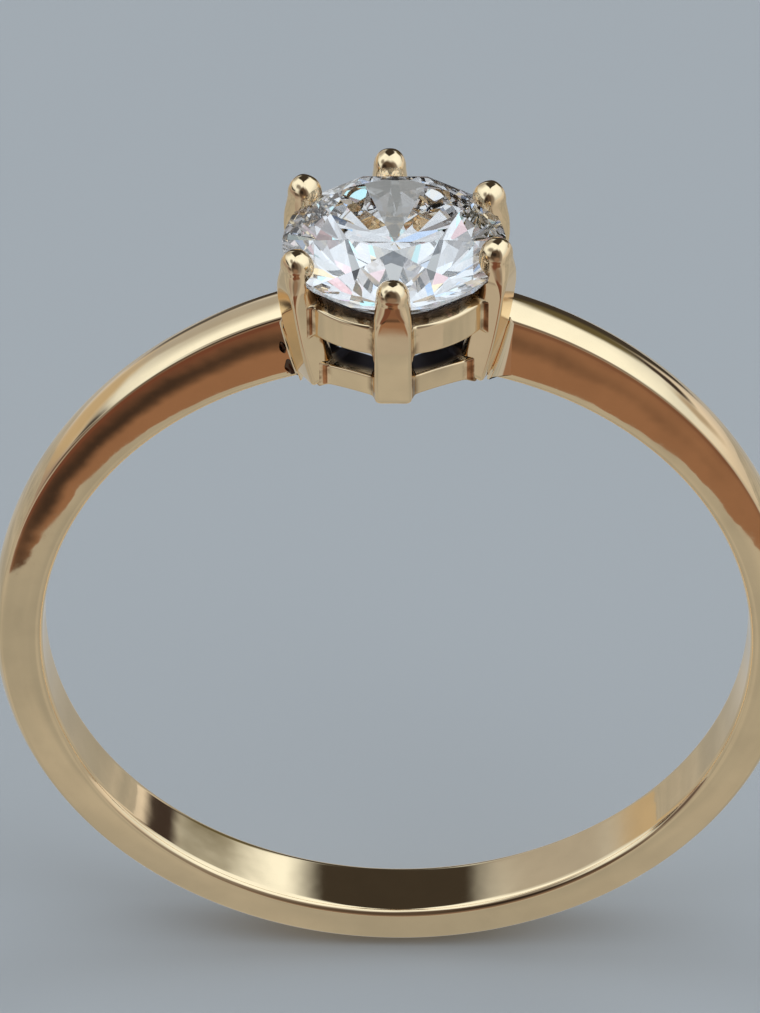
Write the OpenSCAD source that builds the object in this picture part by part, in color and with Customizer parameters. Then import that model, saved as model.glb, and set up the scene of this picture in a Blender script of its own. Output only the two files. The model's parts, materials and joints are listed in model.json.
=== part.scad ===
// Six-claw solitaire ring with a round brilliant stone.
// The origin is the centre of the finger hole. +Y runs along the finger and +Z points at the stone.

/* [Finger hole] */
// Inside diameter of the band
finger_d = 16.9; // [15:0.1:21]

/* [Band] */
// Width along the finger at the bottom of the band
band_w_bottom = 1.72; // [1.4:0.02:2.2]
// Width along the finger at the shoulders
band_w_top = 1.14; // [1.0:0.02:1.3]
// Thickness at the middle of the width, at the bottom and sides
band_t = 1.2; // [1.1:0.05:1.6]
// Extra radius of each shoulder arc, which makes the band thicker towards the head
shoulder_rise = 0.92; // [0.6:0.02:1.1]
// Radius of the crown across the outer face
dome_r = 1.3; // [1.2:0.05:2.5]

/* [Stone] */
// Girdle diameter
stone_d = 5; // [4.8:0.05:5.2]
// Height of the girdle above the centre of the finger hole
girdle_z = 11.55; // [11.4:0.05:11.8]
// Girdle thickness where the main facets meet it
girdle_t = 0.16; // [0.14:0.01:0.22]
// Table width over the girdle diameter
table_ratio = 0.57; // [0.52:0.01:0.62]
// Slope of the crown main facets
crown_angle = 34.5; // [32:0.5:36]
// Slope of the pavilion main facets
pavilion_angle = 41; // [40:0.1:42]
// Length of a star facet, over the distance from table edge to girdle
star_ratio = 0.5; // [0.4:0.05:0.6]
// Length of a lower half facet, over the distance from girdle to culet
lower_half_ratio = 0.77; // [0.7:0.01:0.85]

/* [Claws] */
// Width of a claw across its flat outer face
claw_w = 0.83; // [0.7:0.01:0.9]
// Depth of a claw towards the stone
claw_d = 0.72; // [0.6:0.01:0.8]
// Radius that rounds a claw's edges
claw_round_r = 0.5; // [0.46:0.01:0.52]
// Radius of the dome at a claw's tip
claw_dome_r = 0.56; // [0.54:0.01:0.6]
// Distance of a claw's centre line from the head's axis, at its foot
claw_foot_r = 2.02; // [1.98:0.01:2.06]
// Outward lean of a claw at its foot
claw_foot_lean = 15.5; // [15:0.1:16]
// Radius of the bend that makes a claw steeper towards its tip
claw_bend_r = 14.5; // [14:0.1:16]

/* [Gallery] */
// Radius of the upper rail's outer face
upper_rail_r = 2.4; // [2.3:0.01:2.45]
// Lower edge of the upper rail above the centre of the finger hole
upper_rail_z = 10.2; // [10.1:0.05:10.4]
// Height of the upper rail's outer face
upper_rail_h = 0.86; // [0.7:0.02:0.9]
// Distance from the head's axis to the lower rail's corners, which lie inside the claws
lower_rail_r = 2.3; // [2.2:0.01:2.32]
// Height of the lower rail
lower_rail_h = 0.54; // [0.4:0.01:0.6]
// Wall thickness of the upper rail
upper_rail_t = 0.6; // [0.5:0.02:0.65]
// Wall thickness of the lower rail, at its corners
lower_rail_t = 0.8; // [0.76:0.02:0.9]
// How far the foot of the head stays clear of the finger hole
foot_relief = 0.35; // [0.25:0.01:0.4]

/* [Solder] */
// Reach of the left solder from the head's axis, at the foot of the head
left_solder_reach = 2.6; // [2.5:0.05:2.8]
// Reach of the right solder from the head's axis, at the foot of the head
right_solder_reach = 2.8; // [2.6:0.05:3]
// Radius of the solder's hollow faces
solder_hollow_r = 0.4; // [0.3:0.05:0.6]

/* [Hidden] */
$fn = 96;
eps = 0.01;

// Azimuth of each claw about the head's axis, anticlockwise from +X, and the height of its tip.
// They are not quite even, as the claws were bent over by hand.
CLAW_AZIMUTHS = [270, 336, 31, 93, 145, 211];
CLAW_TIPS_Z = [12.19, 12.32, 12.29, 12.32, 12.34, 12.17];
FRONT = 0;
FRONT_RIGHT = 1;
BACK_RIGHT = 2;
BACK = 3;
BACK_LEFT = 4;
FRONT_LEFT = 5;

finger_r = finger_d / 2;
foot_r = finger_r + foot_relief;
band_crown_r = finger_r + band_t;
band_reach = band_crown_r + shoulder_rise + 1;

stone_r = stone_d / 2;
table_r = stone_r * table_ratio;
crown_z = girdle_t / 2;
table_z = crown_z + (stone_r - table_r) * tan(crown_angle);
culet_z = -crown_z - stone_r * tan(pavilion_angle);

facet_step = 45;
half_step = facet_step / 2;
girdle_points = 64;
points_per_facet = girdle_points / 16;
girdle_step = 360 / girdle_points;

star_edge_r = table_r * cos(half_step);
star_tip_r = star_edge_r + star_ratio * (stone_r - star_edge_r);
star_tip_z = crown_z + (stone_r - star_tip_r * cos(half_step)) * tan(crown_angle);
lower_tip_r = stone_r * (1 - lower_half_ratio);
lower_tip_z = -crown_z - (stone_r - lower_tip_r * cos(half_step)) * tan(pavilion_angle);

// The half facets pass through a chord of the girdle, and these are their slopes
half_chord_r = stone_r * cos(half_step / 2);
upper_half_slope = (star_tip_z - crown_z) / (half_chord_r - star_tip_r * cos(half_step / 2));
lower_half_slope = (-crown_z - lower_tip_z) / (half_chord_r - lower_tip_r * cos(half_step / 2));

claw_spare_angle = 3;
claw_dome_cut = 0.12;
claw_bend_x = claw_foot_r - claw_bend_r * cos(claw_foot_lean);
claw_bend_z = foot_r + claw_bend_r * sin(claw_foot_lean);

upper_rail_top = upper_rail_z + upper_rail_h;
rail_bevel = 0.16;
solder_w = 0.85;
solder_h = 1.8;
solder_inset = 0.03;

// ---- Shapes that the pieces share ----

// A cylinder along the finger, centred on the finger hole
module along_finger(r) {
    rotate([90, 0, 0])
        cylinder(r = r, h = 4 * band_w_bottom, center = true);
}

// A barrel about a line along the finger, with the crowned outer face of the band
module barrel(crown_r) {
    core_r = crown_r - dome_r;
    rotate([90, 0, 0])
        rotate_extrude()
            union() {
                translate([0, -band_w_bottom])
                    square([core_r, 2 * band_w_bottom]);
                intersection() {
                    translate([core_r, 0])
                        circle(r = dome_r);
                    translate([core_r - eps, -band_w_bottom])
                        square([2 * dome_r, 2 * band_w_bottom]);
                }
            }
}

// The block whose flat sides narrow from the bottom of the band to its shoulders
module band_taper() {
    half_bottom = band_w_bottom / 2;
    half_top = band_w_top / 2;
    rotate([90, 0, 90])
        linear_extrude(height = 2 * band_reach, center = true)
            polygon([
                [-half_bottom, -band_crown_r], [half_bottom, -band_crown_r],
                [half_top, band_crown_r], [half_top - eps, band_reach],
                [eps - half_top, band_reach], [-half_top, band_crown_r]
            ]);
}

// One quarter of the band above the finger hole's centre, on the side that side = 1 or -1 names
module shoulder_arc(side) {
    intersection() {
        translate([-side * shoulder_rise, 0, 0])
            barrel(band_crown_r + shoulder_rise);
        translate([side * band_reach / 2, 0, band_reach / 2])
            cube(band_reach, center = true);
    }
}

// The band before it is cut for the head
module closed_band() {
    difference() {
        intersection() {
            union() {
                shoulder_arc(1);
                shoulder_arc(-1);
                intersection() {
                    barrel(band_crown_r);
                    translate([0, 0, -band_reach / 2])
                        cube([2 * band_reach, band_reach, band_reach + eps], center = true);
                }
            }
            band_taper();
        }
        along_finger(finger_r);
    }
}

// A point at radius r, azimuth a and height z
function polar(r, a, z) = [r * cos(a), r * sin(a), z];

// How far a half facet's plane drops below its chord at girdle point i, where the round girdle stands out past it
function girdle_drop(i, slope) =
    let (off_middle = (i % points_per_facet - points_per_facet / 2) * girdle_step)
    (stone_r * cos(off_middle) - half_chord_r) * slope;

// Girdle point numbers from first to last, as an arc of the ring that starts at point number start
function girdle_arc(start, first, last) =
    [for (i = [first:sign(last - first):last]) start + i % girdle_points];

// The stone's round outline with cones for its facets, which every claw is notched with
module stone_envelope() {
    translate([0, 0, girdle_z])
        rotate_extrude()
            polygon([
                [0, culet_z], [stone_r, -crown_z], [stone_r, crown_z],
                [table_r, table_z], [0, table_z]
            ]);
}

// How far a claw still leans outwards at the centre of its dome
function claw_tip_lean(i) = asin((claw_bend_z - CLAW_TIPS_Z[i] + claw_dome_r) / claw_bend_r);

// The flat-faced bar with round edges that a claw is bent from, along an arc from one lean to another
module bent_bar(from_lean, to_lean) {
    rotate([0, from_lean, 0])
        rotate([90, 0, 0])
            rotate_extrude(angle = from_lean - to_lean)
                translate([claw_bend_r, 0])
                    intersection() {
                        circle(r = claw_round_r);
                        square([claw_d, claw_w], center = true);
                    }
}

// What is filed off the end of the bar to leave its dome
module dome_waste() {
    rotate_extrude()
        difference() {
            translate([0, claw_dome_cut])
                square(2 * claw_dome_r);
            circle(r = claw_dome_r);
        }
}

// A claw before it is notched
module claw_blank(i) {
    tip_lean = claw_tip_lean(i);
    rotate([0, 0, CLAW_AZIMUTHS[i]])
        translate([claw_bend_x, 0, claw_bend_z])
            difference() {
                bent_bar(claw_foot_lean + claw_spare_angle, tip_lean - claw_spare_angle);
                rotate([0, tip_lean, 0])
                    translate([claw_bend_r, 0, 0])
                        dome_waste();
            }
}

module all_claw_blanks() {
    for (i = [0:len(CLAW_AZIMUTHS) - 1])
        claw_blank(i);
}

// A closed outline with its corners at the claws
module claw_polygon(r) {
    polygon([for (a = CLAW_AZIMUTHS) [r * cos(a), r * sin(a)]]);
}

// ---- Pieces ----

module shank() {
    color("#c8a06c")
        difference() {
            closed_band();
            translate([0, 0, foot_r])
                linear_extrude(height = 2 * foot_r, center = true)
                    claw_polygon(lower_rail_r);
            all_claw_blanks();
        }
}

module claw(i) {
    color("#d2ae7c")
        difference() {
            claw_blank(i);
            stone_envelope();
            along_finger(foot_r);
        }
}

module upper_gallery_rail() {
    inner_r = upper_rail_r - upper_rail_t;
    seat_r = upper_rail_r - rail_bevel;
    seat_z = girdle_z - crown_z;
    slope = tan(pavilion_angle);
    color("#cfa874")
        difference() {
            rotate_extrude()
                polygon([
                    [inner_r, upper_rail_z], [upper_rail_r, upper_rail_z],
                    [upper_rail_r, upper_rail_top],
                    [seat_r, seat_z - (stone_r - seat_r) * slope],
                    [inner_r, seat_z - (stone_r - inner_r) * slope]
                ]);
            all_claw_blanks();
        }
}

module lower_gallery_rail() {
    color("#cfa874")
        difference() {
            intersection() {
                translate([0, 0, finger_r])
                    linear_extrude(height = 2)
                        difference() {
                            claw_polygon(lower_rail_r);
                            claw_polygon(lower_rail_r - lower_rail_t);
                        }
                along_finger(foot_r + lower_rail_h);
            }
            along_finger(foot_r);
            all_claw_blanks();
        }
}

// A round brilliant: table, 8 star, 8 main and 16 half facets above the girdle, 8 main and 16 half below
module stone() {
    tables = 0;
    stars = 8;
    uppers = 16;
    lowers = uppers + girdle_points;
    tips = lowers + girdle_points;
    culet = tips + 8;
    n = points_per_facet;
    points = concat(
        [for (k = [0:7]) polar(table_r, k * facet_step, table_z)],
        [for (k = [0:7]) polar(star_tip_r, (k + 0.5) * facet_step, star_tip_z)],
        [for (i = [0:girdle_points - 1])
            polar(stone_r, i * girdle_step, crown_z - girdle_drop(i, upper_half_slope))],
        [for (i = [0:girdle_points - 1])
            polar(stone_r, i * girdle_step, girdle_drop(i, lower_half_slope) - crown_z)],
        [for (k = [0:7]) polar(lower_tip_r, (k + 0.5) * facet_step, lower_tip_z)],
        [[0, 0, culet_z]]
    );
    faces = concat(
        [[for (k = [7:-1:0]) tables + k]],
        [for (k = [0:7]) [tables + k, tables + (k + 1) % 8, stars + k]],
        [for (k = [0:7]) [tables + k, stars + k, uppers + 2 * n * k, stars + (k + 7) % 8]],
        [for (k = [0:7]) concat([stars + k], girdle_arc(uppers, 2 * n * k + n, 2 * n * k))],
        [for (k = [0:7]) concat([stars + k], girdle_arc(uppers, 2 * n * k + 2 * n, 2 * n * k + n))],
        [for (i = [0:girdle_points - 1])
            let (j = (i + 1) % girdle_points) [uppers + i, uppers + j, lowers + j, lowers + i]],
        [for (k = [0:7]) concat([tips + k], girdle_arc(lowers, 2 * n * k, 2 * n * k + n))],
        [for (k = [0:7]) concat([tips + k], girdle_arc(lowers, 2 * n * k + n, 2 * n * k + 2 * n))],
        [for (k = [0:7]) [culet, tips + (k + 7) % 8, lowers + 2 * n * k, tips + k]]
    );
    color("#eef3fa")
        translate([0, 0, girdle_z])
            polyhedron(points = points, faces = faces);
}

// Solder in the corners between one shoulder and the two claws beside it.
// Its hollow faces lean with the claws, and it ends at the shoulder's crown.
module shoulder_solder(side, reach) {
    hollow_y = band_w_top / 2 + solder_hollow_r;
    color("#e6cf9a")
        difference() {
            intersection() {
                translate([side * reach, 0, foot_r])
                    rotate([0, side * claw_foot_lean, 0])
                        difference() {
                            translate([-side * reach / 2, 0, 0])
                                cube([reach, 2 * solder_w, 2 * solder_h], center = true);
                            for (y = [-hollow_y, hollow_y])
                                translate([0, y, 0])
                                    cylinder(r = solder_hollow_r, h = 3 * solder_h, center = true);
                        }
                translate([-side * shoulder_rise, 0, 0])
                    barrel(band_crown_r + shoulder_rise - solder_inset);
            }
            shank();
            all_claw_blanks();
            along_finger(finger_r);
            cylinder(r = upper_rail_r, h = 2 * foot_r);
        }
}

shank();
claw(FRONT);  // claw_front
claw(FRONT_RIGHT);  // claw_front_right
claw(BACK_RIGHT);  // claw_back_right
claw(BACK);  // claw_back
claw(BACK_LEFT);  // claw_back_left
claw(FRONT_LEFT);  // claw_front_left
upper_gallery_rail();
lower_gallery_rail();
stone();
shoulder_solder(-1, left_solder_reach);  // left_shoulder_solder
shoulder_solder(1, right_solder_reach);  // right_shoulder_solder
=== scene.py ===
import json
import math

import bmesh
import bpy
import numpy as np
from mathutils import Matrix, Vector


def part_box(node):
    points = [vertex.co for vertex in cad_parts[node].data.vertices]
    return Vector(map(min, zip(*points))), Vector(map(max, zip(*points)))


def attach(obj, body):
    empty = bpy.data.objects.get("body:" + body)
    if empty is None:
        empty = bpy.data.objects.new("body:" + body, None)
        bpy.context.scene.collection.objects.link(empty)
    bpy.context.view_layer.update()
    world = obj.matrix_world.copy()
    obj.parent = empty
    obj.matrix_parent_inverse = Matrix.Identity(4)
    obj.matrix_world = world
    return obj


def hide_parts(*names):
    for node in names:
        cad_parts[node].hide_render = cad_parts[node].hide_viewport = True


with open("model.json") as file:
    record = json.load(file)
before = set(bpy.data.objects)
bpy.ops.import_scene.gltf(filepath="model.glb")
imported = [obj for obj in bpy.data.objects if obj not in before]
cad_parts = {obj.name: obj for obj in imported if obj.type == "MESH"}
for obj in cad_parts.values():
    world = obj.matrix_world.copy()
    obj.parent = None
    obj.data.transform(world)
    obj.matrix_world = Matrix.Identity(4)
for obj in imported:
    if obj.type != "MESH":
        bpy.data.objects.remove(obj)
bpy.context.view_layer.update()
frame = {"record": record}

# The ring is worked out in millimetres, in the CAD frame, and put into the scene in metres.
MM = 0.001
# Degrees between two faces from which the edge between them is sharp
SHARP_ANGLE = 40


# ---- What the frame gives ----

def mm_box(node):
    """Lowest and highest corner of a CAD node, in millimetres."""
    lo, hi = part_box(node)
    return np.array(lo) / MM, np.array(hi) / MM


def azimuth_of(node):
    """The direction in which a claw stands from the head's axis, in radians."""
    lo, hi = mm_box(node)
    return math.atan2(lo[1] + hi[1], lo[0] + hi[0])


CLAWS = ("claw_front", "claw_front_right", "claw_back_right",
         "claw_back", "claw_back_left", "claw_front_left")
AZIMUTHS = {node: azimuth_of(node) for node in CLAWS}
BORE_R = frame["record"]["mounts"][0]["dims"]["r_mm"]

shank_lo, shank_hi = mm_box("shank")
stone_hi = mm_box("stone")[1]
upper_rail_lo = mm_box("upper_gallery_rail")[0]

# ---- Band ----
CROWN_R = -shank_lo[2]
HALF_W_BOTTOM = shank_hi[1]
HALF_W_TOP = 0.57
# How much larger a shoulder's circle is than the band's. Its centre is as far to the other side.
SHOULDER_RISE = 0.92
DOME_R = 1.3
CREASE_CUT = 0.065
SIDE_BULGE = 0.05
INNER_EDGE_CUT = 0.2
# The band's two ends are flat, this far from the middle of the head
BAND_END_X = 1.98
# The part of a full turn, from straight up, that the band's ends are looked for in
BAND_ANGLES = (math.radians(8), math.radians(352))
BAND_SAMPLES = 700
BAND_RINGS = 520

# ---- Claws ----
# The radius of the round that the claws' feet and the lower rail stand on
FOOT_R = 8.8
CLAW_W = 0.83
CLAW_D = 0.72
CLAW_FOOT_R = 2.02
CLAW_FOOT_LEAN = math.radians(15.5)
CLAW_BEND_R = 14.5
# The height of a tip's dome, and its fullness: 1 is a half round, and less is fuller
CLAW_DOME_H = 0.42
CLAW_DOME_FULL = 0.95
CLAW_TIP_LIFT = {"claw_front": 0.09, "claw_front_left": 0.05, "claw_front_right": 0.05}
CLAW_EDGE_CUT = 0.09
CLAW_TIP_CUT = 0.365
CLAW_BACK_CUT = 0.2
# The distances below its tip over which a claw turns from flat to round, and grows to full size
CLAW_FLAT_FROM = (0.35, 1.35)
CLAW_FULL_FROM = (0.3, 0.95)
CLAW_TIP_SLIM = 0.045
CLAW_TIP_LEAN_IN = 0.05
CLAW_FOOT_ROUND = 0.17
# How far the foot's round draws in the outer and inner faces, and the sides
CLAW_FOOT_INSET = np.array([0.1, 0.19])

# ---- Gallery ----
LOWER_RAIL_R = 2.3
LOWER_RAIL_H = 0.54
LOWER_RAIL_T = 0.8
UPPER_RAIL_R = 2.4
UPPER_RAIL_T = 0.6
UPPER_RAIL_H = 0.86
RAIL_BEVEL = 0.3
RAIL_EDGE_CUT = 0.05
RAIL_TOP_DROP = 0.12
RAIL_SEAT_CUT = 0.03
FILLET_R = 0.13
# The distances from a claw's side, inside it, over which a rail's fillet sinks back
FILLET_SUNK = (-0.2, -0.05)

# ---- Solder ----
SOLDER_DROP = 0.2
SOLDER_SUNK = 0.04
SOLDER_LIFT = 0.02
SOLDER_TOP_W = 0.13
LEFT_SOLDER_REACH = 0.1
RIGHT_SOLDER_REACH = 0.42
# How fast a web narrows as it climbs, and how it tapers off at its top
SOLDER_NARROWING = 1.6
SOLDER_TAPER_FROM = 0.86
SOLDER_TAPER = 0.7
# A web's width on the claw, as a share of its width on the band
SOLDER_CLAW_SHARE = 0.6
# How far a web's middle is drawn into the corner
SOLDER_HOLLOW = 0.8
# The pits left beside the front left claw, as (x, z, half width, half height)
PITS = ((-2.36, 8.47, 0.13, 0.27), (-2.53, 9.06, 0.075, 0.17))
PIT_DEPTH = 0.1
PIT_LEAN = 0.22
PIT_WOBBLE = 0.22
PIT_LOBES = 3
PIT_TWIST = 14

# ---- Stone ----
STONE_R = stone_hi[0]
# The girdle's middle
GIRDLE_Z = 11.55
GIRDLE_T = 0.16
TABLE_RATIO = 0.57
CROWN_SLOPE = math.tan(math.radians(34.5))
PAVILION_SLOPE = math.tan(math.radians(41))
STAR_RATIO = 0.5
LOWER_HALF_RATIO = 0.77
SEAT_GAP = 0.012
DIAMOND_IOR = 2.417


# ---- Colours ----
GOLD = (0.93, 0.71, 0.44, 1)
SOLDER_GOLD = (0.95, 0.77, 0.53, 1)
# Painted shade: the pits' faces are painted near black.
PIT_PAINTED_SHADE = (0.10, 0.06, 0.04, 1)
# A fainter cloud of the same gold
CLOUD_SHADE = 0.94
# Painted shade: the inside of the head, under the stone, is painted near black. It fades out
# between two distances from the head's axis, which grow with height as the claws lean, and at two
# heights.
INSIDE_PAINTED_SHADE = (0.065, 0.06, 0.07, 1)
INSIDE_SHADE_R = (1.6, 1.95)
INSIDE_SHADE_SLOPE = 0.17
INSIDE_SHADE_RAGGED = 0.3
INSIDE_SHADE_FLOOR_Z = (8.4, 8.75)
INSIDE_SHADE_TOP_Z = (11.3, 11.5)
INSIDE_SHADE_ROUGHNESS = 0.4
# Grime on the rails beside the claws, as distances from a claw's side. The rails are also darker
# under the stone, above a height.
JOINT_GRIME = (0.30, 0.19, 0.10, 1)
JOINT_GRIME_REACH = (0.02, 0.2)
SEAT_DARK = (0.17, 0.11, 0.06, 1)
SEAT_DARK_Z = (11.0, 11.08)
# The polish: its roughness from clear to clouded, what scratches add, and its relief in millimetres
POLISH_ROUGHNESS = (0.035, 0.07)
SCRATCH_ROUGHNESS = 0.05
WAVE_HEIGHT = 0.009
RIPPLE_HEIGHT = 0.0009
SCRATCH_HEIGHT = 0.00006


# ---- Mesh helpers ----

def unit(v):
    return v / np.linalg.norm(v)


def smoothstep(x, edge0, edge1):
    t = np.clip((x - edge0) / (edge1 - edge0), 0, 1)
    return t * t * (3 - 2 * t)


def curve_through(start, control, end, steps):
    """Points along a parabola that leaves start and reaches end towards the control point."""
    t = np.linspace(0, 1, steps + 1)[:, None]
    start, control, end = (np.array(p, float) for p in (start, control, end))
    return (1 - t) ** 2 * start + 2 * t * (1 - t) * control + t ** 2 * end


def rounded_outline(corners, cuts, steps=10, marks=(0.04, 0.35, 0.65, 0.96)):
    """A closed outline with each corner rounded over its cut's length, and marks on each edge."""
    corners = [np.array(c, float) for c in corners]
    arcs = []
    for i, corner in enumerate(corners):
        start = corner + unit(corners[i - 1] - corner) * cuts[i]
        end = corner + unit(corners[(i + 1) % len(corners)] - corner) * cuts[i]
        arcs.append(curve_through(start, corner, end, steps))
    points = []
    for i, arc in enumerate(arcs):
        points.extend(arc)
        gap = arcs[(i + 1) % len(arcs)][0] - arc[-1]
        points.extend(arc[-1] + gap * mark for mark in marks)
    return np.array(points)


def shade(mesh):
    """Smooth shading, apart from sharp edges."""
    mesh.shade_smooth()
    mesh.set_sharp_from_angle(angle=math.radians(SHARP_ANGLE))


def mesh_object(name, verts, faces):
    """A closed mesh from points in millimetres."""
    mesh = bpy.data.meshes.new(name)
    mesh.from_pydata([tuple(v) for v in np.asarray(verts) * MM], [], faces)
    bm = bmesh.new()
    bm.from_mesh(mesh)
    bmesh.ops.recalc_face_normals(bm, faces=bm.faces)
    bm.to_mesh(mesh)
    bm.free()
    shade(mesh)
    ob = bpy.data.objects.new(name, mesh)
    bpy.context.scene.collection.objects.link(ob)
    return ob


def loft(rings, closed=False):
    """Points and faces of a skin through rings of points, capped unless it closes on itself."""
    rings = np.asarray(rings, float)
    count, size = rings.shape[:2]
    verts = list(rings.reshape(-1, 3))
    faces = []
    for k in range(count if closed else count - 1):
        here, there = k * size, (k + 1) % count * size
        for j in range(size):
            n = (j + 1) % size
            faces.append((here + j, here + n, there + n, there + j))
    if not closed:
        for k in (0, count - 1):
            centre = len(verts)
            verts.append(rings[k].mean(0))
            faces.extend((k * size + j, k * size + (j + 1) % size, centre) for j in range(size))
    return verts, faces


def joined(*skins):
    """Several skins as one list of points and one of faces."""
    verts, faces = [], []
    for skin_verts, skin_faces in skins:
        offset = len(verts)
        verts.extend(skin_verts)
        faces.extend(tuple(i + offset for i in face) for face in skin_faces)
    return verts, faces


def cut_away(ob, cutter):
    """Takes the cutter's solid out of a piece, and the cutter out of the scene."""
    cut = ob.modifiers.new("cut", "BOOLEAN")
    cut.operation = "DIFFERENCE"
    cut.solver = "EXACT"
    cut.object = cutter
    graph = bpy.context.evaluated_depsgraph_get()
    baked = bpy.data.meshes.new_from_object(ob.evaluated_get(graph))
    ob.modifiers.clear()
    ob.data = baked
    bpy.data.objects.remove(cutter)
    shade(ob.data)


# ---- Band ----

def crown_radius(angle):
    """Radius of the band's crown at an angle from straight up."""
    lift = SHOULDER_RISE * (np.cos(angle) > 0)
    across = lift * abs(np.sin(angle))
    return np.sqrt((CROWN_R + lift) ** 2 - (lift * np.cos(angle)) ** 2) - across


def band_half_width(z):
    """Half the band's width at a height. It narrows towards the head."""
    return HALF_W_BOTTOM + (HALF_W_TOP - HALF_W_BOTTOM) * (z + CROWN_R) / (2 * CROWN_R)


def band_section(angle):
    """The band's outline at an angle from straight up, as pairs of radius and y."""
    crown = crown_radius(angle)
    half = band_half_width(crown * math.cos(angle))

    def dome(y):
        return crown - DOME_R + np.sqrt(DOME_R ** 2 - y ** 2)

    crease = np.array([dome(half), half])
    y = np.linspace(0, half - CREASE_CUT, 16)
    top = np.stack([dome(y), y], 1)
    inner = np.array([BORE_R, half - SIDE_BULGE / 2])
    belly = np.array([(crease[0] + inner[0]) / 2, half + SIDE_BULGE])
    side_start = crease + unit(belly - crease) * CREASE_CUT
    side_end = inner + unit(belly - inner) * INNER_EDGE_CUT
    bore_start = inner - np.array([0, INNER_EDGE_CUT])
    half_outline = np.concatenate([
        top,
        curve_through(top[-1], crease, side_start, 6)[1:],
        curve_through(side_start, belly, side_end, 16)[1:],
        curve_through(side_end, inner, bore_start, 8)[1:],
        [bore_start * [1, 0.97], bore_start * [1, 0.5], bore_start * [1, 0]],
    ])
    mirrored = half_outline[-2:0:-1] * [1, -1]
    return np.concatenate([half_outline, mirrored])


def make_shank():
    """The band, from one side of the head round under the finger to the other."""
    around = np.linspace(*BAND_ANGLES, BAND_SAMPLES)
    sections = np.array([band_section(a) for a in around])
    columns = []
    for j in range(sections.shape[1]):
        radii, ys = sections[:, j, 0], sections[:, j, 1]
        start, stop = around[0], around[-1]
        for _ in range(4):
            start = math.asin(BAND_END_X / np.interp(start, around, radii))
            stop = 2 * math.pi - math.asin(BAND_END_X / np.interp(stop, around, radii))
        angles = np.linspace(start, stop, BAND_RINGS)
        r = np.interp(angles, around, radii)
        y = np.interp(angles, around, ys)
        columns.append(np.stack([r * np.sin(angles), y, r * np.cos(angles)], 1))
    shank = mesh_object("shank_polished", *loft(np.array(columns).transpose(1, 0, 2)))
    cut_away(shank, make_pits())
    return shank


def make_pits():
    """Small hollows in the band's side, by the front left claw, where the solder didn't run."""
    skins = []
    for x, z, half_w, half_h in PITS:
        wall_y = -band_half_width(z) - SIDE_BULGE / 2
        rings = []
        for turn in np.radians(np.linspace(-85, 85, 18)):
            ring = []
            for a in np.linspace(0, 2 * math.pi, 24, endpoint=False):
                up = half_h * math.sin(turn)
                wobble = 1 + PIT_WOBBLE * math.sin(PIT_LOBES * a + PIT_TWIST * up)
                side = wobble * half_w * math.cos(turn) * math.cos(a)
                deep = PIT_DEPTH * math.cos(turn) * math.sin(a)
                ring.append((x - PIT_LEAN * up + side, wall_y + deep, z + up))
            rings.append(ring)
        skins.append(loft(rings))
    pits = mesh_object("pits", *joined(*skins))
    # The pits' faces take the band's second material, the painted near-black shade.
    for polygon in pits.data.polygons:
        polygon.material_index = 1
    return pits


# ---- Claws ----

BEND_X = CLAW_FOOT_R - CLAW_BEND_R * math.cos(CLAW_FOOT_LEAN)
BEND_Z = FOOT_R + CLAW_BEND_R * math.sin(CLAW_FOOT_LEAN)


def on_claw(azimuth, lean, out, across):
    """A point on a claw: at a lean along its bend, out from its centre line and across it."""
    r = BEND_X + (CLAW_BEND_R + out) * math.cos(lean)
    z = BEND_Z - (CLAW_BEND_R + out) * math.sin(lean)
    c, s = math.cos(azimuth), math.sin(azimuth)
    return np.array([r * c - across * s, r * s + across * c, z])


def claw_section(s):
    """A claw's outline at a distance s below its tip, as pairs of out and across.
    It is a flat-faced bar that grows narrower and rounder towards the tip."""
    tipward = 1 - smoothstep(s, *CLAW_FLAT_FROM)
    close = 1 - smoothstep(s, *CLAW_FULL_FROM)
    half_w = CLAW_W / 2 - CLAW_TIP_SLIM * close
    front = CLAW_D / 2 - CLAW_TIP_LEAN_IN * close
    back = -CLAW_D / 2 - CLAW_TIP_LEAN_IN * close
    face_cut = CLAW_EDGE_CUT + (CLAW_TIP_CUT - CLAW_EDGE_CUT) * tipward
    back_cut = CLAW_BACK_CUT + (CLAW_TIP_CUT - CLAW_BACK_CUT) * tipward
    corners = [(front, -half_w), (front, half_w), (back, half_w), (back, -half_w)]
    return rounded_outline(corners, [face_cut, face_cut, back_cut, back_cut])


def foot_lean(azimuth, out, across):
    """The lean at which a line along a claw comes out on the foot's round."""
    lean = CLAW_FOOT_LEAN
    for _ in range(6):
        x, _, z = on_claw(azimuth, lean, out, across)
        lean += (z - math.sqrt(FOOT_R ** 2 - x ** 2)) / CLAW_BEND_R
    return lean


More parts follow.
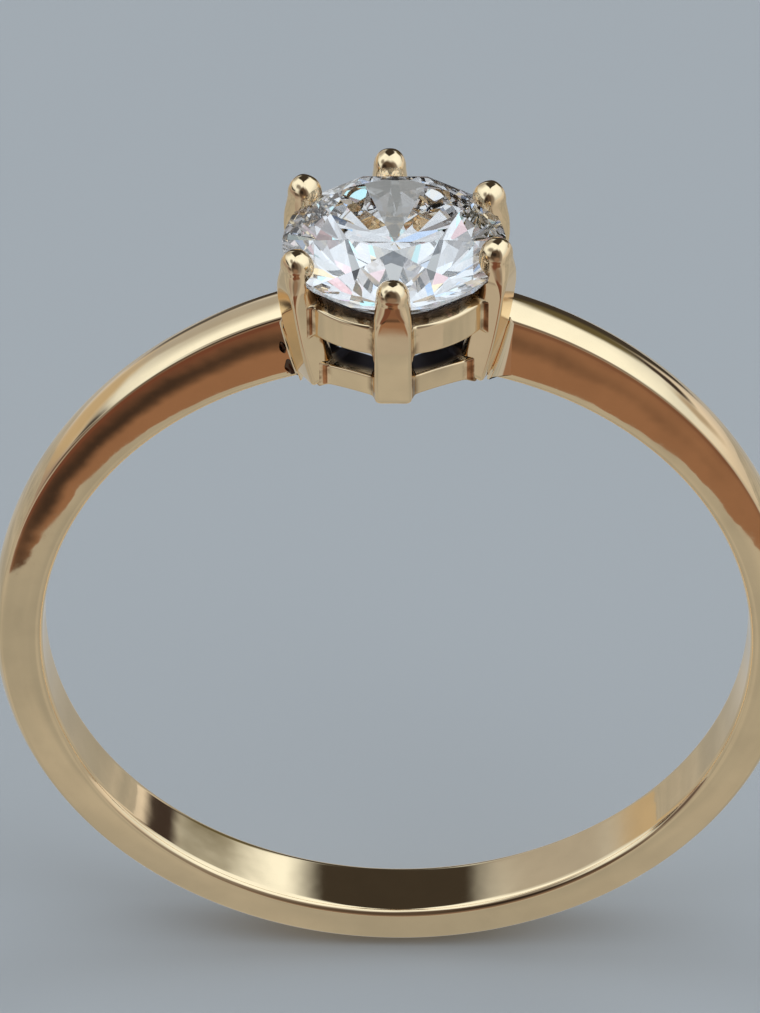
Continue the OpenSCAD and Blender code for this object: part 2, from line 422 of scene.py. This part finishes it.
def make_claw(node):
    """A claw, from the middle of its domed tip down to the middle of its sole."""
    azimuth = AZIMUTHS[node]
    tip_z = mm_box(node)[1][2] + CLAW_TIP_LIFT.get(node, 0)
    tip_lean = math.asin((BEND_Z - tip_z) / CLAW_BEND_R)
    rings = []
    base = claw_section(CLAW_DOME_H)
    for turn in np.linspace(88, 0, 22):
        size = math.cos(math.radians(turn)) ** CLAW_DOME_FULL
        s = CLAW_DOME_H * (1 - math.sin(math.radians(turn)) ** CLAW_DOME_FULL)
        lean = tip_lean + s / CLAW_BEND_R
        rings.append([on_claw(azimuth, lean, *(p * size)) for p in base])
    length = (foot_lean(azimuth, 0, 0) - tip_lean) * CLAW_BEND_R
    for s in np.linspace(CLAW_DOME_H, length, 64)[1:-1]:
        share = (s - CLAW_DOME_H) / (length - CLAW_DOME_H)
        section = claw_section(s)
        ring = []
        for p in section:
            start = tip_lean + CLAW_DOME_H / CLAW_BEND_R
            stop = foot_lean(azimuth, *p) - CLAW_FOOT_ROUND / CLAW_BEND_R
            ring.append(on_claw(azimuth, start + (stop - start) * share, *p))
        rings.append(ring)
    section = claw_section(length)
    for turn in np.linspace(0, 90, 7):
        inset = CLAW_FOOT_INSET * (1 - math.cos(math.radians(turn)))
        drop = CLAW_FOOT_ROUND * math.sin(math.radians(turn))
        ring = []
        for p in section:
            q = p - np.sign(p) * np.minimum(abs(p), inset)
            lean = foot_lean(azimuth, *q) + (drop - CLAW_FOOT_ROUND) / CLAW_BEND_R
            ring.append(on_claw(azimuth, lean, *q))
        rings.append(ring)
    sole = [p - np.sign(p) * np.minimum(abs(p), CLAW_FOOT_INSET) for p in section]
    for size in (0.6, 0.3, 0.03):
        rings.append([on_claw(azimuth, foot_lean(azimuth, *(q * size)), *(q * size)) for q in sole])
    claw = mesh_object(node + "_polished", *loft(rings))
    cut_away(claw, make_seat_cutter())
    return claw


def make_seat_cutter():
    """The stone's outline with cones for its facets, a hair larger."""
    half = GIRDLE_T / 2
    table_r = STONE_R * TABLE_RATIO
    r = STONE_R + SEAT_GAP
    top = half + (STONE_R - table_r) * CROWN_SLOPE + SEAT_GAP
    bottom = -half - r * PAVILION_SLOPE - SEAT_GAP
    profile = [(0, bottom), (r, -half), (r, half), (table_r, top), (0, top)]
    steps = 192
    verts = [(0, 0, GIRDLE_Z + profile[0][1]), (0, 0, GIRDLE_Z + profile[-1][1])]
    for radius, z in profile[1:-1]:
        for k in range(steps):
            a = 2 * math.pi * k / steps
            verts.append((radius * math.cos(a), radius * math.sin(a), GIRDLE_Z + z))
    faces = []
    for k in range(steps):
        n = (k + 1) % steps
        rows = [2 + i * steps for i in range(3)]
        faces.append((0, rows[0] + n, rows[0] + k))
        for low, high in zip(rows, rows[1:]):
            faces.append((low + k, low + n, high + n, high + k))
        faces.append((1, rows[2] + k, rows[2] + n))
    return mesh_object("seat_cutter", verts, faces)


# ---- Gallery ----

def claw_distance(azimuth, radius):
    """How far a point of a rail is from the side of the nearest claw, in millimetres."""
    turns = (azimuth - a for a in AZIMUTHS.values())
    nearest = min(abs((turn + math.pi) % (2 * math.pi) - math.pi) for turn in turns)
    return radius * math.sin(min(nearest, math.pi / 2)) - CLAW_W / 2


def fillet(distance):
    """How far a fillet stands out at a distance from the wall that it runs up."""
    if distance >= FILLET_R:
        return 0
    d = max(distance, 0)
    sunk = smoothstep(distance, *FILLET_SUNK)
    return sunk * (FILLET_R - math.sqrt(FILLET_R ** 2 - (FILLET_R - d) ** 2))


def make_upper_rail():
    """The round rail under the stone, with fillets where it meets the claws."""
    seat_z = GIRDLE_Z - GIRDLE_T / 2
    bottom = upper_rail_lo[2]
    inner_r = UPPER_RAIL_R - UPPER_RAIL_T
    seat_r = UPPER_RAIL_R - RAIL_BEVEL
    rings = []
    for a in np.linspace(0, 2 * math.pi, 720, endpoint=False):
        out = fillet(claw_distance(a, UPPER_RAIL_R))
        corners = [
            (inner_r, bottom - out), (UPPER_RAIL_R + out, bottom - out),
            (UPPER_RAIL_R + out, bottom + UPPER_RAIL_H - RAIL_TOP_DROP),
            (seat_r, seat_z - (STONE_R - seat_r) * PAVILION_SLOPE - SEAT_GAP),
            (inner_r, seat_z - (STONE_R - inner_r) * PAVILION_SLOPE - SEAT_GAP),
        ]
        cuts = [RAIL_EDGE_CUT] * 3 + [RAIL_SEAT_CUT] * 2
        section = rounded_outline(corners, cuts, steps=6)
        rings.append([(r * math.cos(a), r * math.sin(a), z) for r, z in section])
    return mesh_object("upper_gallery_rail_polished", *loft(rings, closed=True))


def make_lower_rail():
    """The flat-sided rail at the foot, between the claws. Its edges follow the finger's round."""
    azimuths = sorted(a % (2 * math.pi) for a in AZIMUTHS.values())
    rings = []
    for i, a in enumerate(azimuths):
        b = azimuths[(i + 1) % len(azimuths)]
        here, there = (np.array([math.cos(t), math.sin(t)]) for t in (a, b))
        for share in np.linspace(0, 1, 60, endpoint=False):
            along = here + (there - here) * share
            outer = along * LOWER_RAIL_R
            out = fillet(claw_distance(math.atan2(along[1], along[0]), np.linalg.norm(outer)))
            across = unit(along) * out
            inner = along * (LOWER_RAIL_R - LOWER_RAIL_T)
            top_r = FOOT_R + LOWER_RAIL_H + out
            corners = []
            for point, radius in ((inner, FOOT_R), (outer + across, FOOT_R),
                                  (outer + across, top_r), (inner, top_r)):
                corners.append((*point, math.sqrt(radius ** 2 - point[0] ** 2)))
            rings.append(rounded_outline(corners, [RAIL_EDGE_CUT] * 4, steps=6))
    return mesh_object("lower_gallery_rail_polished", *loft(rings, closed=True))


# ---- Solder ----

def crown_z(x, y):
    """Height of the band's domed top over a point."""
    angle = 0
    for _ in range(6):
        r = crown_radius(angle) - DOME_R + math.sqrt(DOME_R ** 2 - y ** 2)
        angle = math.asin(x / r)
    return r * math.cos(angle)


def solder_web(node, side, reach):
    """The hollow web of solder that climbs the corner between a claw and a shoulder's side."""
    azimuth = AZIMUTHS[node]
    front = math.copysign(1, math.sin(azimuth))
    edge = -side * front * CLAW_W / 2
    outward = np.array([math.cos(azimuth), math.sin(azimuth), 0])
    along_face = np.array([math.sin(azimuth), -math.cos(azimuth), 0]) * math.copysign(1, edge)
    foot = foot_lean(azimuth, CLAW_D / 2, edge) + SOLDER_DROP / CLAW_BEND_R
    foot_z = on_claw(azimuth, foot, CLAW_D / 2, edge)[2]
    crease_z = crown_z(LOWER_RAIL_R, HALF_W_TOP)
    rings = []
    for t in np.linspace(0, 1, 60):
        lean = foot - t * (crease_z - foot_z) / CLAW_BEND_R
        corner = on_claw(azimuth, lean, CLAW_D / 2, edge)
        width = SOLDER_TOP_W + (reach - SOLDER_TOP_W) * (1 - t) ** SOLDER_NARROWING
        width *= 1 - SOLDER_TAPER * smoothstep(t, SOLDER_TAPER_FROM, 1) ** 2
        wall_y = front * (band_half_width(corner[2]) + SOLDER_LIFT)
        on_wall = np.array([corner[0] + side * width, wall_y, corner[2]])
        on_face = corner + along_face * SOLDER_CLAW_SHARE * width + outward * SOLDER_LIFT
        hollow = np.array([corner[0], wall_y, corner[2]])
        middle = hollow * SOLDER_HOLLOW + (on_face + on_wall) * (1 - SOLDER_HOLLOW) / 2
        sunk = np.array([-side, -front, 0]) * SOLDER_SUNK
        rings.append([*curve_through(on_face, middle, on_wall, 12),
                      on_wall + sunk, hollow + 3 * sunk, on_face + sunk])
    return loft(rings)


def make_solder(name, side, claws, reach):
    """The solder at one shoulder, which is a web at each of two claws."""
    return mesh_object(name, *joined(*(solder_web(node, side, reach) for node in claws)))


# ---- Stone ----

def make_stone():
    """A round brilliant: a table, 8 star, 8 main and 16 half facets above the girdle, and 8 main
    and 16 half facets below it. The girdle's two edges are scalloped where half facets meet it."""
    per_facet = 8
    girdle_points = 16 * per_facet
    step = 2 * math.pi / girdle_points
    facet = math.pi / 4
    half_facet = facet / 2
    rim_z = GIRDLE_T / 2
    table_r = STONE_R * TABLE_RATIO
    table_z = rim_z + (STONE_R - table_r) * CROWN_SLOPE
    star_edge = table_r * math.cos(half_facet)
    star_r = star_edge + STAR_RATIO * (STONE_R - star_edge)
    star_z = rim_z + (STONE_R - star_r * math.cos(half_facet)) * CROWN_SLOPE
    tip_r = STONE_R * (1 - LOWER_HALF_RATIO)
    tip_z = -rim_z - (STONE_R - tip_r * math.cos(half_facet)) * PAVILION_SLOPE
    chord_r = STONE_R * math.cos(half_facet / 2)
    upper_slope = (star_z - rim_z) / (chord_r - star_r * math.cos(half_facet / 2))
    lower_slope = (-rim_z - tip_z) / (chord_r - tip_r * math.cos(half_facet / 2))

    def polar(r, a, z):
        return r * math.cos(a), r * math.sin(a), GIRDLE_Z + z

    def drop(i, slope):
        turn = (i % per_facet - per_facet / 2) * step
        return (STONE_R * math.cos(turn) - chord_r) * slope

    verts = [polar(table_r, k * facet, table_z) for k in range(8)]
    verts += [polar(star_r, (k + 0.5) * facet, star_z) for k in range(8)]
    upper = len(verts)
    verts += [polar(STONE_R, i * step, rim_z - drop(i, upper_slope))
              for i in range(girdle_points)]
    lower = len(verts)
    verts += [polar(STONE_R, i * step, drop(i, lower_slope) - rim_z)
              for i in range(girdle_points)]
    tips = len(verts)
    verts += [polar(tip_r, (k + 0.5) * facet, tip_z) for k in range(8)]
    culet = len(verts)
    verts.append(polar(0, 0, -rim_z - STONE_R * PAVILION_SLOPE))

    faces = [tuple(range(8))]
    for k in range(8):
        star, last_star = 8 + k, 8 + (k + 7) % 8
        tip, last_tip = tips + k, tips + (k + 7) % 8
        first = 2 * per_facet * k
        rim = [(first + i) % girdle_points for i in range(2 * per_facet + 1)]
        faces.append((k, (k + 1) % 8, star))
        faces.append((k, star, upper + first, last_star))
        faces.append((star, *(upper + i for i in reversed(rim[:per_facet + 1]))))
        faces.append((star, *(upper + i for i in reversed(rim[per_facet:]))))
        faces.append((tip, *(lower + i for i in rim[:per_facet + 1])))
        faces.append((tip, *(lower + i for i in rim[per_facet:])))
        faces.append((culet, last_tip, lower + first, tip))
    girdle_faces = []
    for i in range(girdle_points):
        n = (i + 1) % girdle_points
        girdle_faces.append((upper + i, upper + n, lower + n, lower + i))
    stone = mesh_object("stone_brilliant", verts, faces + girdle_faces)
    for polygon in stone.data.polygons[:len(faces)]:
        polygon.use_smooth = False
    for polygon in stone.data.polygons[len(faces):]:
        polygon.material_index = 1
    return stone


# ---- Materials ----

class Nodes:
    """A node tree that is written as calls, each of which gives an output to use in the next."""

    def __init__(self, tree):
        self.tree = tree

    def put(self, value, socket):
        """Gives a socket another node's output, or a number, vector or colour of its own."""
        if hasattr(value, "links"):
            self.tree.links.new(value, socket)
        else:
            socket.default_value = value

    def add(self, kind, inputs=(), output=0, **settings):
        """One node, of which one output is returned."""
        node = self.tree.nodes.new(kind)
        for key, value in settings.items():
            setattr(node, key, value)
        for key, value in dict(inputs).items():
            self.put(value, node.inputs[key])
        return node.outputs[output]

    def math(self, operation, *terms):
        return self.add("ShaderNodeMath", dict(enumerate(terms)), operation=operation)

    def vector_math(self, operation, *terms):
        return self.add("ShaderNodeVectorMath", dict(enumerate(terms)), operation=operation)

    def length(self, a, b):
        """The length of the vector (a, b)."""
        squares = self.math("ADD", self.math("POWER", a, 2), self.math("POWER", b, 2))
        return self.math("SQRT", squares)

    def parts(self, vector):
        """A vector's x, y and z."""
        node = self.tree.nodes.new("ShaderNodeSeparateXYZ")
        self.put(vector, node.inputs[0])
        return node.outputs

    def ramp(self, factor, low, high, out_low=0, out_high=1, smooth=True):
        """Takes factor from one range to another, smoothly at both ends."""
        inputs = {"Value": factor, "From Min": low, "From Max": high,
                  "To Min": out_low, "To Max": out_high}
        return self.add("ShaderNodeMapRange", inputs,
                        interpolation_type="SMOOTHSTEP" if smooth else "LINEAR")

    def mix(self, factor, a, b):
        """Mixes two colours."""
        node = self.tree.nodes.new("ShaderNodeMix")
        node.data_type = "RGBA"
        for name, value in (("Factor_Float", factor), ("A_Color", a), ("B_Color", b)):
            self.put(value, next(i for i in node.inputs if i.identifier == name))
        return next(o for o in node.outputs if o.identifier == "Result_Color")

    def noise(self, vector, scale, detail=3, roughness=0.5, output=0):
        inputs = {"Vector": vector, "Scale": scale, "Detail": detail, "Roughness": roughness}
        return self.add("ShaderNodeTexNoise", inputs, output)


def new_material(name):
    material = bpy.data.materials.new(name)
    material.use_nodes = True
    nodes = Nodes(material.node_tree)
    shader = material.node_tree.nodes["Principled BSDF"]
    return material, nodes, shader


def in_millimetres(nodes):
    """The surface's own coordinates, in millimetres."""
    place = nodes.add("ShaderNodeTexCoord", output="Object")
    return nodes.vector_math("MULTIPLY", place, (1 / MM,) * 3)


def joint_grime(nodes, x, y):
    """How near a point is to the side of a claw: 1 beside it, falling to 0."""
    far = 9
    nearest = None
    for azimuth in AZIMUTHS.values():
        c, s = math.cos(azimuth), math.sin(azimuth)
        across = nodes.math("SUBTRACT", nodes.math("MULTIPLY", y, c), nodes.math("MULTIPLY", x, s))
        along = nodes.math("ADD", nodes.math("MULTIPLY", x, c), nodes.math("MULTIPLY", y, s))
        behind = nodes.math("MULTIPLY", nodes.math("LESS_THAN", along, 0), far)
        across = nodes.math("ADD", nodes.math("ABSOLUTE", across), behind)
        nearest = across if nearest is None else nodes.math("MINIMUM", nearest, across)
    start, stop = (CLAW_W / 2 + reach for reach in JOINT_GRIME_REACH)
    return nodes.ramp(nearest, start, stop, 1, 0)


def painted_inside_shade(nodes, x, y, z, cloud):
    """How far a point is in the painted shade inside the head."""
    ragged = nodes.math("MULTIPLY", nodes.math("SUBTRACT", cloud, 0.5), INSIDE_SHADE_RAGGED)
    ragged = nodes.math("ADD", nodes.length(x, y), ragged)
    leaned = nodes.math("MULTIPLY", nodes.math("SUBTRACT", z, FOOT_R), -INSIDE_SHADE_SLOPE)
    inside = nodes.ramp(nodes.math("ADD", ragged, leaned), *INSIDE_SHADE_R, 1, 0)
    inside = nodes.math("MULTIPLY", inside, nodes.ramp(z, *INSIDE_SHADE_FLOOR_Z))
    return nodes.math("MULTIPLY", inside, nodes.ramp(z, *INSIDE_SHADE_TOP_Z, 1, 0))


def make_gold(name="polished_gold", colour=GOLD, joints=False):
    """Gold with a little hand-polishing left in it: long waves, fine scratches, faint clouding."""
    material, nodes, shader = new_material(name)
    place = in_millimetres(nodes)
    x, y, z = nodes.parts(place)
    cloud = nodes.noise(place, 0.9, 4)
    deep = tuple(c * CLOUD_SHADE for c in colour[:3]) + (1,)
    clean = nodes.mix(nodes.ramp(cloud, 0.35, 0.65), colour, deep)
    # Painted shade: the gold inside the head is darkened towards near black, and made rougher.
    inside = painted_inside_shade(nodes, x, y, z, cloud)
    if joints:
        patchy = nodes.ramp(nodes.noise(place, 2.6, 3), 0.4, 0.62)
        beside = nodes.math("MULTIPLY", joint_grime(nodes, x, y), patchy)
        clean = nodes.mix(beside, clean, JOINT_GRIME)
        # Darker under the stone, above a ragged height.
        height = nodes.math("ADD", z, nodes.math("MULTIPLY", cloud, 0.1))
        clean = nodes.mix(nodes.ramp(height, *SEAT_DARK_Z), clean, SEAT_DARK)
    nodes.put(nodes.mix(inside, clean, INSIDE_PAINTED_SHADE), shader.inputs["Base Color"])

    stretched = nodes.add("ShaderNodeMapping", {"Vector": place, "Scale": (1, 9, 1)})
    scratches = nodes.noise(stretched, 7, 5, 0.6)
    worn = nodes.math("MULTIPLY", nodes.ramp(scratches, 0.55, 0.75), SCRATCH_ROUGHNESS)
    rough = nodes.math("ADD", nodes.ramp(cloud, 0.3, 0.7, *POLISH_ROUGHNESS), worn)
    rough = nodes.math("ADD", rough, nodes.math("MULTIPLY", inside, INSIDE_SHADE_ROUGHNESS))
    nodes.put(rough, shader.inputs["Roughness"])

    waves = nodes.math("MULTIPLY", nodes.noise(place, 0.9, 0), WAVE_HEIGHT)
    ripple = nodes.math("MULTIPLY", nodes.noise(place, 3.4, 0), RIPPLE_HEIGHT)
    fine = nodes.math("MULTIPLY", scratches, SCRATCH_HEIGHT)
    height = nodes.math("ADD", nodes.math("ADD", waves, ripple), fine)
    bump = nodes.add("ShaderNodeBump", {"Height": height, "Strength": 1, "Distance": MM})
    nodes.put(bump, shader.inputs["Normal"])
    shader.inputs["Metallic"].default_value = 1
    return material


def make_diamond(name, roughness, grain):
    """Clear diamond, with a roughness that drifts between two values in patches of a grain."""
    material, nodes, shader = new_material(name)
    smear = nodes.noise(in_millimetres(nodes), grain, 4, 0.6)
    nodes.put(nodes.ramp(smear, 0.45, 0.7, *roughness), shader.inputs["Roughness"])
    shader.inputs["Base Color"].default_value = (1, 1, 1, 1)
    shader.inputs["Transmission Weight"].default_value = 1
    shader.inputs["IOR"].default_value = DIAMOND_IOR
    return material


# ---- Stage ----

FLOOR_HALF = 600
FLOOR_COLOUR = (0.50, 0.495, 0.49, 1)
FLOOR_ROUGHNESS = 0.9
CARD_CORNERS = ((-90, -16), (90, -18.5), (90, 60), (-90, 60))
CARD_SHADES = (0.38, 0.40, 0.40, 1), (0.50, 0.51, 0.50, 1)


def flat_sheet(name, corners, material):
    """A sheet at the height of the band's lowest point, with corners in millimetres."""
    z = shank_lo[2]
    mesh = bpy.data.meshes.new(name)
    mesh.from_pydata([(x * MM, y * MM, z * MM) for x, y in corners], [], [(0, 1, 2, 3)])
    mesh.materials.append(material)
    sheet = bpy.data.objects.new(name, mesh)
    bpy.context.scene.collection.objects.link(sheet)
    return sheet


def make_floor():
    """The plain pale floor. Reflections see the studio below it instead."""
    material, _, shader = new_material("pale_floor")
    shader.inputs["Base Color"].default_value = FLOOR_COLOUR
    shader.inputs["Roughness"].default_value = FLOOR_ROUGHNESS
    corners = [(x * FLOOR_HALF, y * FLOOR_HALF) for x, y in ((-1, -1), (1, -1), (1, 1), (-1, 1))]
    floor = flat_sheet("floor", corners, material)
    floor.visible_glossy = False
    floor.visible_transmission = False


def make_reflector():
    """A pale card that lies around the ring's foot. Only reflections see it, and the studio's dark
    front shows past its edge."""
    material, nodes, shader = new_material("pale_card")
    cloud = nodes.ramp(nodes.noise(in_millimetres(nodes), 0.12, 3), 0.3, 0.7)
    nodes.put(nodes.mix(cloud, *CARD_SHADES), shader.inputs["Emission Color"])
    shader.inputs["Emission Strength"].default_value = 1
    shader.inputs["Base Color"].default_value = (0, 0, 0, 1)
    shader.inputs["Specular IOR Level"].default_value = 0
    card = flat_sheet("reflector", CARD_CORNERS, material)
    card.visible_camera = False
    card.visible_diffuse = False
    card.visible_shadow = False


# The camera looks down at the head from in front, a hair to the right and turned a hair clockwise.
CAMERA_ELEVATION = math.radians(39.091)
CAMERA_AZIMUTH = math.radians(1.173)
CAMERA_ROLL = math.radians(-0.4753)
CAMERA_DISTANCE = 107.964
CAMERA_RIGHT = -0.3922
CAMERA_UP = 3.0707
CAMERA_LENS = 159.92
CAMERA_SENSOR = 36
CAMERA_CLIP = (0.005, 20)


def make_camera():
    """The photograph's camera, as solved from the ring's outline in it."""
    a, e, r = CAMERA_AZIMUTH, CAMERA_ELEVATION, CAMERA_ROLL
    forward = Vector((-math.sin(a) * math.cos(e), math.cos(a) * math.cos(e), -math.sin(e)))
    right = Vector((math.cos(a), math.sin(a), 0))
    up = right.cross(forward)
    right, up = (right * math.cos(r) + up * math.sin(r),
                 up * math.cos(r) - right * math.sin(r))
    place = right * CAMERA_RIGHT + up * CAMERA_UP - forward * CAMERA_DISTANCE
    data = bpy.data.cameras.new("camera")
    data.sensor_fit = "AUTO"
    data.sensor_width = CAMERA_SENSOR
    data.lens = CAMERA_LENS
    data.clip_start, data.clip_end = CAMERA_CLIP
    camera = bpy.data.objects.new("camera", data)
    turn = Matrix((right, up, -forward)).transposed().to_4x4()
    camera.matrix_world = Matrix.Translation(place * MM) @ turn
    bpy.context.scene.collection.objects.link(camera)
    bpy.context.scene.camera = camera


# The studio's shades, as (azimuth, elevation, half width, half height, softness, colour).
# Azimuth 0 is in front of the ring and 90 to its right. A later shade lies over an earlier one.
STUDIO = (
    (-85, -13, 42, 17, 0.4, (0.37, 0.33, 0.33)),
    (-130, 1, 26, 10, 0.5, (0.54, 0.48, 0.37)),
    (-138, -20, 22, 8, 0.5, (0.48, 0.58, 0.78)),
    (-142, 28, 20, 16, 0.6, (0.60, 0.66, 0.72)),
    (-88, 9, 22, 5, 0.5, (0.09, 0.09, 0.10)),
    (-58, -3, 18, 8, 0.5, (0.13, 0.11, 0.11)),
    (-62, 45, 24, 14, 0.6, (0.30, 0.31, 0.33)),
    (0, -34, 21, 15, 0.12, (0.30, 0.175, 0.12)),
    (22, 18, 22, 40, 0.4, (0.26, 0.25, 0.25)),
    (-14, 22, 36, 42, 0.3, (0.10, 0.08, 0.07)),
    (-3, -6, 20, 14, 0.5, (0.27, 0.20, 0.17)),
    (-16, -26, 18, 8, 0.3, (0.17, 0.075, 0.055)),
    (12, -26, 14, 6, 0.4, (0.20, 0.11, 0.08)),
    (-8, -34.5, 9, 2.4, 0.8, (0.05, 0.035, 0.03)),
    (-25, 25, 14, 12, 0.6, (0.03, 0.025, 0.025)),
    (-150, 17, 14, 18, 0.3, (0.45, 0.47, 0.49)),
    (-162, -6, 9, 7, 0.4, (0.10, 0.10, 0.10)),
    (172, -2, 24, 29, 0.12, (0.05, 0.045, 0.04)),
    (180, 52, 29, 32, 0.2, (0.05, 0.045, 0.04)),
    (148, 14, 11, 12, 0.5, (0.13, 0.12, 0.07)),
    (137, 5, 9, 4, 0.5, (0.05, 0.04, 0.04)),
    (121, 6, 7, 6, 0.6, (0.46, 0.43, 0.39)),
    (-70, -33, 24, 2, 0.6, (0.18, 0.17, 0.17)),
    (75, -33, 20, 2, 0.6, (0.32, 0.33, 0.34)),
    (-70, -50, 35, 4, 0.6, (0.66, 0.72, 0.76)),
    (82, -41, 22, 4, 0.6, (0.88, 0.97, 1.05)),
)
# Grey of the studio at each elevation, under those shades. Above the horizon it has a tint.
STUDIO_SKY = ((-90, 0.28), (-65, 0.33), (-55, 0.46), (-38, 0.50), (-25, 0.54), (-10, 0.62),
              (0, 0.80), (12, 1.0), (28, 1.35), (60, 1.45), (90, 1.3))
SKY_TINT = (0.80, 0.92, 1.03)
# The studio's brightest shade. Its colours are kept as shares of this, and its strength is this.
STUDIO_PEAK = 1.5
# How far the studio's shades wander from plain ellipses, and how finely
STUDIO_UNEVEN = 0.06
STUDIO_UNEVEN_SCALE = 3.5
BACKDROP = (0.38, 0.42, 0.465)
# The tint of the light that comes through the stone. It is split here and there into colours:
# (fineness, where it starts, what one side of the split adds to red, green and blue)
STONE_TINT = (0.98, 0.95, 0.93)
FIRE = ((7, 0.675, (0.28, 0.02, -0.36)), (11, 0.695, (-0.3, 0.12, 0.12)))
FIRE_SOFTNESS = 0.08
# How far what the stone shows is evened out towards a plain grey
STONE_HAZE = 0.34
HAZE_GREY = (0.45, 0.46, 0.48, 1)


def share_of_peak(colour):
    return tuple(c / STUDIO_PEAK for c in colour) + (1,)


def studio_sky(nodes, elevation):
    """The studio's grey by elevation."""
    sky = nodes.tree.nodes.new("ShaderNodeValToRGB")
    nodes.put(nodes.ramp(elevation, -90, 90, smooth=False), sky.inputs[0])
    while len(sky.color_ramp.elements) < len(STUDIO_SKY):
        sky.color_ramp.elements.new(0.5)
    for element, (at, grey) in zip(sky.color_ramp.elements, STUDIO_SKY):
        tint = SKY_TINT if at > 0 else (1, 1, 1)
        element.position = (at + 90) / 180
        element.color = share_of_peak(grey * t for t in tint)
    return sky.outputs[0]


def through_stone(nodes, way, colour):
    """The studio as the stone shows it: hazed, tinted and split into colours."""
    vivid = STONE_TINT
    for scale, low, split in FIRE:
        lobes = nodes.noise(way, scale, 0)
        one_side = nodes.ramp(lobes, low, low + FIRE_SOFTNESS)
        other_side = nodes.ramp(lobes, 1 - low - FIRE_SOFTNESS, 1 - low, 1, 0)
        flash = nodes.math("SUBTRACT", one_side, other_side)
        amount = nodes.add("ShaderNodeVectorMath", {0: split, "Scale": flash}, operation="SCALE")
        vivid = nodes.vector_math("ADD", amount, vivid)
    return nodes.vector_math("MULTIPLY", nodes.mix(STONE_HAZE, colour, HAZE_GREY), vivid)


def make_world():
    """A soft studio: light from above and the sides, darker in front, behind and low down."""
    world = bpy.data.worlds.new("studio")
    world.use_nodes = True
    bpy.context.scene.world = world
    nodes = Nodes(world.node_tree)
    way = nodes.add("ShaderNodeTexCoord", output="Generated")
    shift = nodes.noise(way, STUDIO_UNEVEN_SCALE, 2, output="Color")
    shift = nodes.vector_math("SUBTRACT", shift, (0.5, 0.5, 0.5))
    shift = nodes.vector_math("MULTIPLY", shift, (STUDIO_UNEVEN,) * 3)
    way = nodes.vector_math("NORMALIZE", nodes.vector_math("ADD", way, shift))
    x, y, z = nodes.parts(way)
    elevation = nodes.math("DEGREES", nodes.math("ARCSINE", z))
    azimuth = nodes.math("DEGREES", nodes.math("ARCTAN2", x, nodes.math("MULTIPLY", y, -1)))

    colour = studio_sky(nodes, elevation)
    for at_azimuth, at_elevation, half_w, half_h, softness, shade_colour in STUDIO:
        across = nodes.math("WRAP", nodes.math("SUBTRACT", azimuth, at_azimuth), 180, -180)
        across = nodes.math("DIVIDE", across, half_w)
        up = nodes.math("DIVIDE", nodes.math("SUBTRACT", elevation, at_elevation), half_h)
        cover = nodes.ramp(nodes.length(across, up), 1 - softness, 1 + softness, 1, 0)
        colour = nodes.mix(cover, colour, share_of_peak(shade_colour))
    to_stone = nodes.add("ShaderNodeLightPath", output="Is Transmission Ray")
    colour = nodes.mix(to_stone, colour, through_stone(nodes, way, colour))
    to_camera = nodes.add("ShaderNodeLightPath", output="Is Camera Ray")
    colour = nodes.mix(to_camera, colour, share_of_peak(BACKDROP))
    background = world.node_tree.nodes["Background"]
    nodes.put(colour, background.inputs["Color"])
    background.inputs["Strength"].default_value = STUDIO_PEAK


# ---- Assembly ----

LIGHT_BOUNCES = 24


def finish_piece(piece, node, slot, *materials):
    """Puts a piece on the ring's one body, in place of its CAD node."""
    for material in materials:
        piece.data.materials.append(material)
    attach(piece, "root")
    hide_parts(node)


scene = bpy.context.scene
scene.view_settings.view_transform = "Standard"
scene.cycles.max_bounces = LIGHT_BOUNCES
scene.cycles.glossy_bounces = LIGHT_BOUNCES
scene.cycles.transmission_bounces = LIGHT_BOUNCES
make_camera()
make_world()
make_floor()
make_reflector()
gold = make_gold()
rail_gold = make_gold("rail_gold", joints=True)
solder = make_gold("gold_solder", SOLDER_GOLD)
pit_shade = make_gold("pit_painted_shade", PIT_PAINTED_SHADE)
diamond = make_diamond("diamond", (0, 0.02), 1.3)
girdle = make_diamond("ground_girdle", (0.12, 0.25), 18)
finish_piece(make_shank(), "shank", "gold", gold, pit_shade)
for claw_node in CLAWS:
    finish_piece(make_claw(claw_node), claw_node, "gold", gold)
finish_piece(make_upper_rail(), "upper_gallery_rail", "gold", rail_gold)
finish_piece(make_lower_rail(), "lower_gallery_rail", "gold", rail_gold)
left_solder = make_solder("left_shoulder_solder_run", -1,
                          ("claw_front_left", "claw_back_left"), LEFT_SOLDER_REACH)
finish_piece(left_solder, "left_shoulder_solder", "solder", solder)
right_solder = make_solder("right_shoulder_solder_run", 1,
                           ("claw_front_right", "claw_back_right"), RIGHT_SOLDER_REACH)
finish_piece(right_solder, "right_shoulder_solder", "solder", solder)
finish_piece(make_stone(), "stone", "stone", diamond, girdle)
